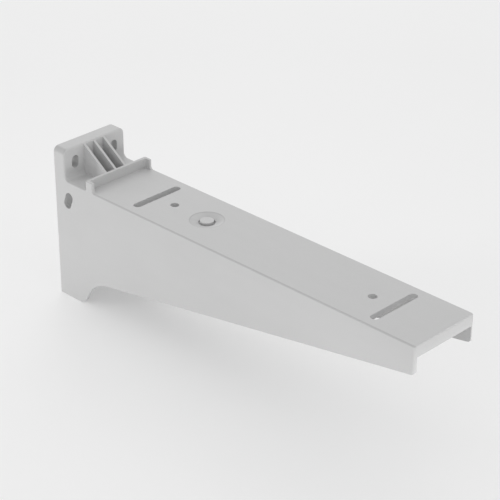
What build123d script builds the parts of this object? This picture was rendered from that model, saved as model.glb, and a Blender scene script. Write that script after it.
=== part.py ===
from build123d import *
from math import radians, tan
import os

os.makedirs("parts", exist_ok=True)

# Cable tray support arm, one moulding: a tapering channel, open below, that bolts to a wall.
# +X runs out along the arm, +Z is up. The origin is on the wall face, midway between the
# two wall slots.

# arm
arm_width = 60.0
arm_reach = 353.0  # wall face to tip
seat_drop = 12.3  # wall slot centres down to the tray seat
tip_depth = 21.3  # tray seat to the lower edge, at the tip
heel_x = 38.6  # where the underside turns down into the foot
heel_depth = 77.1  # tray seat to the underside, at the heel
foot_x = 28.3  # wall face to the foot's lower front corner, before it is rounded
foot_drop = 22.8  # heel to the bottom of the foot
foot_round = 13.5
foot_land = 0.3  # straight stretch between the rounds of foot and heel
tip_round = 3.0  # lower tip corners, seen from the side
tip_corner_round = 2.0  # tip corners, seen from above
edge_round = 1.4  # outer edges of seat, returns and head plate

# walls
side_wall = 2.5
deck = 4.2
back_wall = 4.0
tip_wall = 2.8
tip_strip = 8.85  # height of the strip that closes the tip
inner_round = 1.5  # inside, where a wall meets a wall

# head plate that stands above the tray seat
plate = 11.5
plate_height = 24.5  # above the tray seat
plate_foot_round = 4.0
plate_corner_round = 4.5

# lip that stops the tray, C-shaped in plan
lip_x = 34.8  # wall face to the back of the lip
lip_wall = 2.5
lip_height = 7.7
lip_length = 7.7  # back of the lip to the ends of its two returns
lip_back_round = 1.0
lip_foot_round = 2.2
lip_top_round = 0.5

# gussets between head plate and lip
gusset = 2.0
gusset_pitch = 9.5
gusset_top = 23.6  # above the tray seat, at the head plate

# wall slots, upright, through the head plate
wall_slot_width = 6.5
wall_slot_height = 10.0
wall_slot_pitch = 38.4

# side slots through both side walls, their tops leaning out along the arm
side_slot_x = 14.2
side_slot_drop = 16.1  # tray seat down to the slot's centre
side_slot_width = 8.0
side_slot_length = 14.0
side_slot_lean = 21.5  # degrees from upright

# tray slots, across the arm
tray_slot_first = 80.7
tray_slot_pitch = 229.4
tray_slot_width = 6.5
tray_slot_length = 45.0

# round tray holes on the centre line
tray_hole_first = 99.7
tray_hole_pitch = 191.4
tray_hole = 6.6

# gate mark: a button in a narrow ring groove, in the middle of a shallow conical dish
gate_x = 133.3
dish = 25.4
dish_rim = 0.1  # height of the witness step round the dish
dish_depth = 1.9  # seat down to the dish's floor, at the groove
button = 10.2
button_drop = 0.3  # seat down to the button's top
groove_width = 1.1
groove_depth = 0.9  # below the dish's floor

seat_z = -seat_drop
tip_z = seat_z - tip_depth
heel_z = seat_z - heel_depth
foot_z = heel_z - foot_drop
plate_z = seat_z + plate_height
lip_z = seat_z + lip_height
lip_end = lip_x + lip_length
half_width = arm_width / 2

# the heel's round takes what the foot's round leaves of the slanting face between them
slant = Vector(heel_x - foot_x, heel_z - foot_z)
underside = Vector(arm_reach - heel_x, tip_z - heel_z)
foot_bend = tan(radians(slant.get_angle(Vector(1, 0)) / 2))
heel_bend = tan(radians(slant.get_angle(underside) / 2))
heel_round = (slant.length - foot_land - foot_round * foot_bend) / heel_bend

with BuildPart() as support_arm:
    # side outline, from the foot round to the lip and the head plate
    with BuildSketch(Plane.XZ) as outline:
        with BuildLine():
            FilletPolyline(
                (0, foot_z),
                (foot_x, foot_z),
                (heel_x, heel_z),
                (arm_reach, tip_z),
                (arm_reach, seat_z),
                (lip_end, seat_z),
                (lip_end, lip_z),
                (lip_x, lip_z),
                (lip_x, seat_z),
                (plate, seat_z),
                (plate, plate_z),
                (0, plate_z),
                radius=(
                    *(0, foot_round, heel_round, tip_round, 0, lip_foot_round),
                    *(0, 0, lip_back_round, plate_foot_round, 0, 0),
                ),
                close=True,
            )
        make_face()
    extrude(amount=half_width, both=True)

    # upper corners of the head plate
    top = support_arm.faces().sort_by(Axis.Z)[-1]
    fillet(top.edges().filter_by(Axis.X), radius=plate_corner_round)

    # corners of the tip
    with BuildSketch(Plane.XY.offset(foot_z)) as plan:
        Rectangle(arm_reach, arm_width, align=(Align.MIN, Align.CENTER))
        fillet(plan.vertices().group_by(Axis.X)[-1], radius=tip_corner_round)
    extrude(amount=plate_z - foot_z, mode=Mode.INTERSECT)

    # channel: hollow below the deck, open underneath and below the strip at the tip
    with BuildSketch(Plane.XZ) as hollow:
        with BuildLine():
            FilletPolyline(
                (back_wall, seat_z - deck),
                (arm_reach - tip_wall, seat_z - deck),
                (arm_reach - tip_wall, seat_z - tip_strip),
                (arm_reach + tip_wall, seat_z - tip_strip),
                (arm_reach + tip_wall, foot_z - back_wall),
                (back_wall, foot_z - back_wall),
                radius=(inner_round, inner_round, 0, 0, 0, 0),
                close=True,
            )
        make_face()
    extrude(amount=half_width - side_wall, both=True, mode=Mode.SUBTRACT)

    # space between the lip's two returns
    with BuildSketch(Plane.XY.offset(seat_z)) as lip_inside:
        with Locations((lip_x + lip_wall, 0)):
            inside = (lip_length + lip_foot_round, arm_width - 2 * side_wall)
            Rectangle(*inside, align=(Align.MIN, Align.CENTER))
        fillet(lip_inside.vertices().group_by(Axis.X)[0], radius=inner_round)
    extrude(amount=lip_height, mode=Mode.SUBTRACT)

    # outer edges: round the seat and the tip, up the returns, round the front of the head plate
    upper = support_arm.edges().filter_by(lambda e: e.center().Z > seat_z - edge_round)
    sides = upper.filter_by(
        lambda e: abs(abs(e.center().Y) - half_width) < 0.01
        and e.center().X > plate - 0.01
        and abs(e.center().Z - lip_z) > 0.01
    )
    front = upper.filter_by(
        lambda e: abs(e.center().X - plate) < 0.01 and e.center().Z > seat_z + plate_foot_round
    )
    fillet(sides + front, radius=edge_round)
    rim = support_arm.faces().filter_by(Axis.Z).filter_by(lambda f: abs(f.center().Z - lip_z) < 0.01)
    fillet(rim.edges(), radius=lip_top_round)

    # gussets
    with BuildSketch(*(Plane.XZ.offset(y) for y in (-gusset_pitch, 0, gusset_pitch))) as web:
        with BuildLine():
            Polyline(
                (plate, seat_z + gusset_top),
                (lip_x, lip_z),
                (lip_x + lip_wall / 2, lip_z),
                (lip_x + lip_wall / 2, seat_z - deck / 2),
                (plate - edge_round, seat_z - deck / 2),
                (plate - edge_round, seat_z + gusset_top),
                close=True,
            )
        make_face()
    extrude(amount=gusset / 2, both=True)

    # upright slots through the head plate
    with BuildSketch(Plane.YZ) as wall_slots:
        with GridLocations(wall_slot_pitch, 0, 2, 1):
            SlotOverall(wall_slot_height, wall_slot_width, rotation=90)
    extrude(amount=plate, mode=Mode.SUBTRACT)

    # leaning slots through both side walls
    with BuildSketch(Plane.XZ) as side_slots:
        with Locations((side_slot_x, seat_z - side_slot_drop)):
            SlotOverall(side_slot_length, side_slot_width, rotation=90 - side_slot_lean)
    extrude(amount=half_width, both=True, mode=Mode.SUBTRACT)

    # slots and round holes through the deck
    with BuildSketch(Plane.XY.offset(seat_z)) as tray_openings:
        with Locations((tray_slot_first, 0), (tray_slot_first + tray_slot_pitch, 0)):
            SlotOverall(tray_slot_length, tray_slot_width, rotation=90)
        with Locations((tray_hole_first, 0), (tray_hole_first + tray_hole_pitch, 0)):
            Circle(tray_hole / 2)
    extrude(amount=-deck, mode=Mode.SUBTRACT)

    # gate mark: dish and groove turned out of the deck round the button
    with BuildSketch(Plane.XZ) as gate_mark:
        with BuildLine():
            dish_edge = gate_x + dish / 2
            button_side = gate_x + button / 2
            groove_z = seat_z - dish_depth - groove_depth
            Polyline(
                (gate_x, seat_z + dish_rim),
                (dish_edge, seat_z + dish_rim),
                (dish_edge, seat_z - dish_rim),
                (button_side + groove_width, seat_z - dish_depth),
                (button_side + groove_width, groove_z),
                (button_side, groove_z),
                (button_side, seat_z - button_drop),
                (gate_x, seat_z - button_drop),
                close=True,
            )
        make_face()
    revolve(axis=Axis((gate_x, 0, 0), (0, 0, 1)), mode=Mode.SUBTRACT)

support_arm.part.label = "support_arm"
export_step(support_arm.part, "parts/support_arm.step")
print("heel round", round(heel_round, 2), "volume", round(support_arm.part.volume))
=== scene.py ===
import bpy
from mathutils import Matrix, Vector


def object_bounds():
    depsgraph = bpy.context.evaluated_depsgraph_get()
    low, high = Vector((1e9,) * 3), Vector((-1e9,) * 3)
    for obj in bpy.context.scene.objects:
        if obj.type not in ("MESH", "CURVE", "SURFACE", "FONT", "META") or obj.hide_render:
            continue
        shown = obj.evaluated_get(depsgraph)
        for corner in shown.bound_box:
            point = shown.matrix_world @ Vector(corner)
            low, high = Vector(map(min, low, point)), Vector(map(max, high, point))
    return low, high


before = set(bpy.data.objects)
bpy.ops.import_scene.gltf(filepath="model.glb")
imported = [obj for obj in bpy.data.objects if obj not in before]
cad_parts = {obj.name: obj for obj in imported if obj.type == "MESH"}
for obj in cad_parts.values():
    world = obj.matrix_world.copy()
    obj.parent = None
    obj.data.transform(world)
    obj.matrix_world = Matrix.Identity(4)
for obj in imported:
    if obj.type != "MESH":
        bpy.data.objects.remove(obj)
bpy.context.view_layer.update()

import math

import bpy
from mathutils import Vector

SCENE = bpy.context.scene

# the moulding, in metres
GATE_X = 0.1333
SEAT_Z = -0.0123
BUTTON_RADIUS = 0.0051
GROOVE_RADIUS = 0.0062  # its outer wall
DISH_RADIUS = 0.0127
MIDDLE_X = 0.17

# its plastic: linear grey, and how far each effect takes it from that grey
GREY = 0.566
CLOUD_TONE = 0.010
FLOW_TONE = 0.006
SPECK_TONE = 0.035
ROUND_SHADE_TONE = -0.20  # painted shade: the rounds along the arm are darkened to stand in for shade on those edges; they come out of the tool smoother
# painted shade: darker in the ring groove round the gate button
GROOVE_SHADE_TONE = -0.15
RIM_SHADE_TONE = -0.12  # painted shade: a dark fine line round the dish's rim, standing in for the shade at its edge
RUB_TONE = 0.012

# roughness, and how far each effect takes it
ROUGHNESS = 0.60
CLOUD_ROUGHNESS = 0.03
SPECK_ROUGHNESS = 0.02
ROUND_ROUGHNESS = -0.06
RUB_ROUGHNESS = -0.12
PLASTIC_IOR = 1.49
PLASTIC_SPECULAR = 0.35

# noise scales per metre, and the noise values between which each pattern runs
CLOUD_SCALE, CLOUD_RANGE = 22.0, (0.35, 0.65)
FLOW_SCALE, FLOW_RANGE = 110.0, (0.3, 0.7)
FLOW_SQUEEZE = 0.15  # the streaks run along the arm, as the plastic flowed
GRAIN_SCALE, GRAIN_RANGE = 2800.0, (0.3, 0.7)  # eroded grain, about 0.4 mm from peak to peak
GRAIN_HEIGHT, GRAIN_STRENGTH = 0.00015, 0.8
RUB_SCALE, RUB_RANGE = 1500.0, (0.60, 0.72)
RUB_SQUEEZE = 0.06
RUB_SINK = -0.4  # how far rubbing wears down the grain
PATCH_SCALE, PATCH_RANGE = 30.0, (0.48, 0.62)  # where the rubbing shows

# where each effect of the shape begins and is full
UPWARD = (0.97, 0.995)  # height of the normal
ROUND_LEAN = (0.08, 0.42)  # the normal's y times z
BUTTON_SKIN = 0.0001  # the groove's painted shade takes in the button's side face
GROOVE_SOFT = 0.0003
GROOVE_DEPTHS = (0.0006, 0.0014)  # below the seat
RIM_SHADE_WIDTHS = (0.0006, 0.0002)  # from the middle of the line
RIM_SHADE_DEPTHS = (0.0010, 0.0006)  # below the seat

# the stage: world strengths, and how far from the arm's middle the floor fades into the backdrop
ROOM_LIGHT = 0.786
BACKDROP = 0.93
FADE_START, FADE_END = 0.6, 1.8
FADE_NEAR = 0.35  # share of the backdrop's tone close to the arm
FLOOR_SCALE, FLOOR_RANGE = 6.0, (0.3, 0.7)
FLOOR_GREYS = (0.895, 0.905)
FLOOR_ROUGHNESS = 0.9
RESTING_GAP = 0.0005  # light passes the floor this close below a face that lies on it
LAMP_AIM_Z = -0.03
STRIP_Z = -0.062

# the photograph's view: degrees round from the arm's side and down, and millimetres
CAMERA_PLACE = (0.95886, -0.79147, 0.57609)
CAMERA_TURN, CAMERA_TILT = 44.66, 28.20
CAMERA_LENS, CAMERA_SENSOR = 128.96, 36.0


def new_material(name):
    material = bpy.data.materials.new(name)
    material.use_nodes = True
    tree = material.node_tree
    return material, tree, tree.nodes["Principled BSDF"]


def node(tree, kind, **settings):
    """A new node: settings are its unlinked inputs and its own properties."""
    made = tree.nodes.new(kind)
    for key, value in settings.items():
        if key in made.inputs:
            made.inputs[key].default_value = value
        else:
            setattr(made, key, value)
    return made


def feed(tree, value, socket):
    if isinstance(value, (int, float)):
        socket.default_value = value
    else:
        tree.links.new(value, socket)


def calc(tree, operation, *values):
    """One Math node: values are sockets or numbers."""
    made = node(tree, "ShaderNodeMath", operation=operation)
    for value, socket in zip(values, made.inputs):
        feed(tree, value, socket)
    return made.outputs[0]


def product(tree, first, *others):
    for other in others:
        first = calc(tree, "MULTIPLY", first, other)
    return first


def spread(tree, value, low, high, start=0.0, end=1.0):
    """A value taken from low..high to start..end and held there."""
    made = node(tree, "ShaderNodeMapRange", clamp=True)
    tree.links.new(value, made.inputs["Value"])
    for key, number in (("From Min", low), ("From Max", high), ("To Min", start), ("To Max", end)):
        made.inputs[key].default_value = number
    return made.outputs["Result"]


def swing(tree, value, low, high):
    """A value taken from low..high to -1..1 and held there."""
    return spread(tree, value, low, high, -1.0, 1.0)


def noise(tree, where, scale, detail=3.0, roughness=0.5):
    made = node(tree, "ShaderNodeTexNoise", Scale=scale, Detail=detail, Roughness=roughness)
    tree.links.new(where, made.inputs["Vector"])
    return made.outputs["Fac"]


def along_arm(tree, where, squeeze):
    """Places squeezed along the arm, so that a noise read there runs in streaks."""
    made = node(tree, "ShaderNodeVectorMath", operation="MULTIPLY")
    tree.links.new(where, made.inputs[0])
    made.inputs[1].default_value = (squeeze, 1.0, 1.0)
    return made.outputs["Vector"]


def parts_of(tree, vector):
    made = node(tree, "ShaderNodeSeparateXYZ")
    tree.links.new(vector, made.inputs[0])
    return made.outputs


def radius_from(tree, place, centre_x):
    """Distance in plan from the point (centre_x, 0)."""
    x, y, _ = parts_of(tree, place)
    away = calc(tree, "SUBTRACT", x, centre_x)
    return calc(tree, "SQRT", calc(tree, "ADD", product(tree, away, away), product(tree, y, y)))


def depths(tree, place, begins, full):
    """0 at one depth below the seat, 1 at the other."""
    _, _, z = parts_of(tree, place)
    return spread(tree, z, SEAT_Z - begins, SEAT_Z - full)


def rounds(tree, normal):
    """1 on the rounds that run along the arm, 0 on its flat faces."""
    _, y, z = parts_of(tree, normal)
    return spread(tree, calc(tree, "ABSOLUTE", product(tree, y, z)), *ROUND_LEAN)


def gate_groove_shade(tree, place):
    """1 in the ring groove round the gate button, below its top, where shade is painted."""
    radius = radius_from(tree, place, GATE_X)
    inside = spread(tree, radius, GROOVE_RADIUS + GROOVE_SOFT, GROOVE_RADIUS)
    outside = spread(tree, radius, BUTTON_RADIUS - 2 * BUTTON_SKIN, BUTTON_RADIUS - BUTTON_SKIN)
    return product(tree, inside, outside, depths(tree, place, *GROOVE_DEPTHS))


def rim_shade_line(tree, place):
    """1 on a fine ring round the dish, on the seat, where a line of shade is painted."""
    off = calc(tree, "SUBTRACT", radius_from(tree, place, GATE_X), DISH_RADIUS)
    ring = spread(tree, calc(tree, "ABSOLUTE", off), *RIM_SHADE_WIDTHS)
    return product(tree, ring, depths(tree, place, *RIM_SHADE_DEPTHS))


def rub_marks(tree, place, normal):
    """Faint streaks along the arm, where trays slide on its upward faces."""
    streaks = noise(tree, along_arm(tree, place, RUB_SQUEEZE), RUB_SCALE, 2.0, 0.7)
    patches = noise(tree, place, PATCH_SCALE, 2.0)
    _, _, z = parts_of(tree, normal)
    return product(
        tree,
        spread(tree, streaks, *RUB_RANGE),
        spread(tree, patches, *PATCH_RANGE),
        spread(tree, z, *UPWARD),
    )


def moulded_plastic():
    """Matt light grey moulding with a fine eroded grain, faint clouds and streaks of its flow."""
    material, tree, shader = new_material("moulded_plastic")
    spot = node(tree, "ShaderNodeTexCoord")
    place, normal = spot.outputs["Object"], spot.outputs["Normal"]

    clouds = swing(tree, noise(tree, place, CLOUD_SCALE), *CLOUD_RANGE)
    flow = swing(tree, noise(tree, along_arm(tree, place, FLOW_SQUEEZE), FLOW_SCALE), *FLOW_RANGE)
    grain = noise(tree, place, GRAIN_SCALE, roughness=0.6)
    specks = swing(tree, grain, *GRAIN_RANGE)
    smooth_and_shaded_rounds = rounds(tree, normal)
    groove_shade = gate_groove_shade(tree, place)
    rim_shade = rim_shade_line(tree, place)
    rubbed = rub_marks(tree, place, normal)

    tone = 1.0
    for effect, amount in (
        (clouds, CLOUD_TONE),
        (flow, FLOW_TONE),
        (specks, SPECK_TONE),
        # painted shade along the rounds of the arm
        (smooth_and_shaded_rounds, ROUND_SHADE_TONE),
        # painted shade in the groove round the gate button
        (groove_shade, GROOVE_SHADE_TONE),
        # painted shade: a dark line round the dish's rim
        (rim_shade, RIM_SHADE_TONE),
        (rubbed, RUB_TONE),
    ):
        tone = product(tree, tone, calc(tree, "MULTIPLY_ADD", effect, amount, 1.0))
    colour = node(tree, "ShaderNodeVectorMath", operation="SCALE")
    colour.inputs[0].default_value = (GREY, GREY, GREY)
    tree.links.new(tone, colour.inputs["Scale"])
    tree.links.new(colour.outputs["Vector"], shader.inputs["Base Color"])

    rough = ROUGHNESS
    for effect, amount in (
        (clouds, CLOUD_ROUGHNESS),
        (specks, SPECK_ROUGHNESS),
        (smooth_and_shaded_rounds, ROUND_ROUGHNESS),
        (rubbed, RUB_ROUGHNESS),
    ):
        rough = calc(tree, "MULTIPLY_ADD", effect, amount, rough)
    tree.links.new(rough, shader.inputs["Roughness"])
    shader.inputs["IOR"].default_value = PLASTIC_IOR
    shader.inputs["Specular IOR Level"].default_value = PLASTIC_SPECULAR

    bump = node(tree, "ShaderNodeBump", Strength=GRAIN_STRENGTH, Distance=GRAIN_HEIGHT)
    tree.links.new(calc(tree, "MULTIPLY_ADD", rubbed, RUB_SINK, grain), bump.inputs["Height"])
    tree.links.new(bump.outputs["Normal"], shader.inputs["Normal"])
    return material


def seen(tree):
    """1 for rays that show the backdrop: from the camera, in a gloss or through glass."""
    ray = node(tree, "ShaderNodeLightPath").outputs
    direct = calc(tree, "MAXIMUM", ray["Is Camera Ray"], ray["Is Glossy Ray"])
    return calc(tree, "MAXIMUM", direct, ray["Is Transmission Ray"])


def blended(tree, share, first, second):
    """Shader first, giving way to shader second as share goes from 0 to 1."""
    made = node(tree, "ShaderNodeMixShader")
    for value, socket in zip((share, first, second), made.inputs):
        tree.links.new(value, socket)
    return made.outputs["Shader"]


def pale_floor():
    """Plain pale sheet that fades into the backdrop far off, and is open to the view from below."""
    material, tree, shader = new_material("pale_floor")
    place = node(tree, "ShaderNodeTexCoord").outputs["Object"]
    tone = spread(tree, noise(tree, place, FLOOR_SCALE, 4.0), *FLOOR_RANGE, *FLOOR_GREYS)
    colour = node(tree, "ShaderNodeCombineColor")
    for channel in ("Red", "Green", "Blue"):
        tree.links.new(tone, colour.inputs[channel])
    tree.links.new(colour.outputs["Color"], shader.inputs["Base Color"])
    shader.inputs["Roughness"].default_value = FLOOR_ROUGHNESS

    far = spread(tree, radius_from(tree, place, MIDDLE_X), FADE_START, FADE_END, FADE_NEAR)
    far = product(tree, far, seen(tree))
    backdrop = node(tree, "ShaderNodeEmission", Strength=BACKDROP).outputs["Emission"]
    sheet = blended(tree, far, shader.outputs["BSDF"], backdrop)

    under = node(tree, "ShaderNodeNewGeometry").outputs["Backfacing"]
    under = product(tree, under, seen(tree))
    length = node(tree, "ShaderNodeLightPath").outputs["Ray Length"]
    resting = spread(tree, length, RESTING_GAP, 0.9 * RESTING_GAP)
    open_to = calc(tree, "MAXIMUM", under, resting)
    clear = node(tree, "ShaderNodeBsdfTransparent").outputs["BSDF"]
    surface = tree.nodes["Material Output"].inputs["Surface"]
    tree.links.new(blended(tree, open_to, sheet, clear), surface)
    return material


def dress_arm():
    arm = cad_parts["support_arm"]
    arm.data.materials.clear()
    arm.data.materials.append(moulded_plastic())


def lay_floor(half=6.0):
    low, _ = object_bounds()
    corners = [(-half, -half, 0), (half, -half, 0), (half, half, 0), (-half, half, 0)]
    mesh = bpy.data.meshes.new("floor")
    mesh.from_pydata(corners, [], [(0, 1, 2, 3)])
    floor = bpy.data.objects.new("floor", mesh)
    floor.location.z = low.z
    floor.data.materials.append(pale_floor())
    SCENE.collection.objects.link(floor)


def soft_box(name, place, aim, wide, high, watts, grid):
    """A rectangular lamp; grid is the angle in degrees that its honeycomb leaves open."""
    lamp = bpy.data.lights.new(name, "AREA")
    lamp.shape = "RECTANGLE"
    lamp.size = wide
    lamp.size_y = high
    lamp.energy = watts
    lamp.spread = math.radians(grid)
    made = bpy.data.objects.new(name, lamp)
    made.location = place
    made.rotation_euler = (Vector(aim) - Vector(place)).to_track_quat("-Z", "Y").to_euler()
    made.visible_camera = False
    SCENE.collection.objects.link(made)


def set_room():
    """Even white light from all round; the backdrop itself is seen a little brighter."""
    world = bpy.data.worlds.new("studio")
    world.use_nodes = True
    tree = world.node_tree
    back = tree.nodes["Background"]
    back.inputs["Color"].default_value = (1, 1, 1, 1)
    strength = spread(tree, seen(tree), 0.0, 1.0, ROOM_LIGHT, BACKDROP)
    tree.links.new(strength, back.inputs["Strength"])
    SCENE.world = world


def set_lamps():
    """Gridded lamps: one beyond the wall on either side, and three low ones beyond the tip."""
    arm = (MIDDLE_X, 0.0, LAMP_AIM_Z)
    soft_box("near_side", (-1.101, -1.271, 0.17), arm, wide=0.443, high=0.443, watts=0.455, grid=40.0)
    soft_box("far_side", (-0.932, 1.102, 0.87), arm, wide=1.063, high=1.063, watts=0.836, grid=60.0)
    strip = {"wide": 0.6, "high": 0.08, "grid": 14.0}
    soft_box("tip", (0.95, 0.0, STRIP_Z), (0.25, 0.0, STRIP_Z), watts=0.0821, **strip)
    soft_box("tip_near_side", (0.695, -0.495, STRIP_Z), (0.2, 0.0, STRIP_Z), watts=0.0115, **strip)
    tip = (0.345, 0.0, LAMP_AIM_Z)
    soft_box("tip_low", (0.75, -0.30, -0.08), tip, wide=0.2, high=0.05, watts=0.00433, grid=12.0)


def set_camera():
    """The photograph's view, 15.9 degrees wide, from the tip's near side."""
    camera = bpy.data.cameras.new("camera")
    camera.sensor_width = CAMERA_SENSOR
    camera.lens = CAMERA_LENS
    made = bpy.data.objects.new("camera", camera)
    made.location = CAMERA_PLACE
    turn, tilt = math.radians(CAMERA_TURN), math.radians(CAMERA_TILT)
    level = math.cos(tilt)
    look = Vector((-level * math.sin(turn), level * math.cos(turn), -math.sin(tilt)))
    made.rotation_euler = look.to_track_quat("-Z", "Y").to_euler()
    SCENE.collection.objects.link(made)
    SCENE.camera = made


dress_arm()
lay_floor()
set_room()
set_lamps()
set_camera()
SCENE.view_settings.view_transform = "Standard"

bpy.context.view_layer.update()
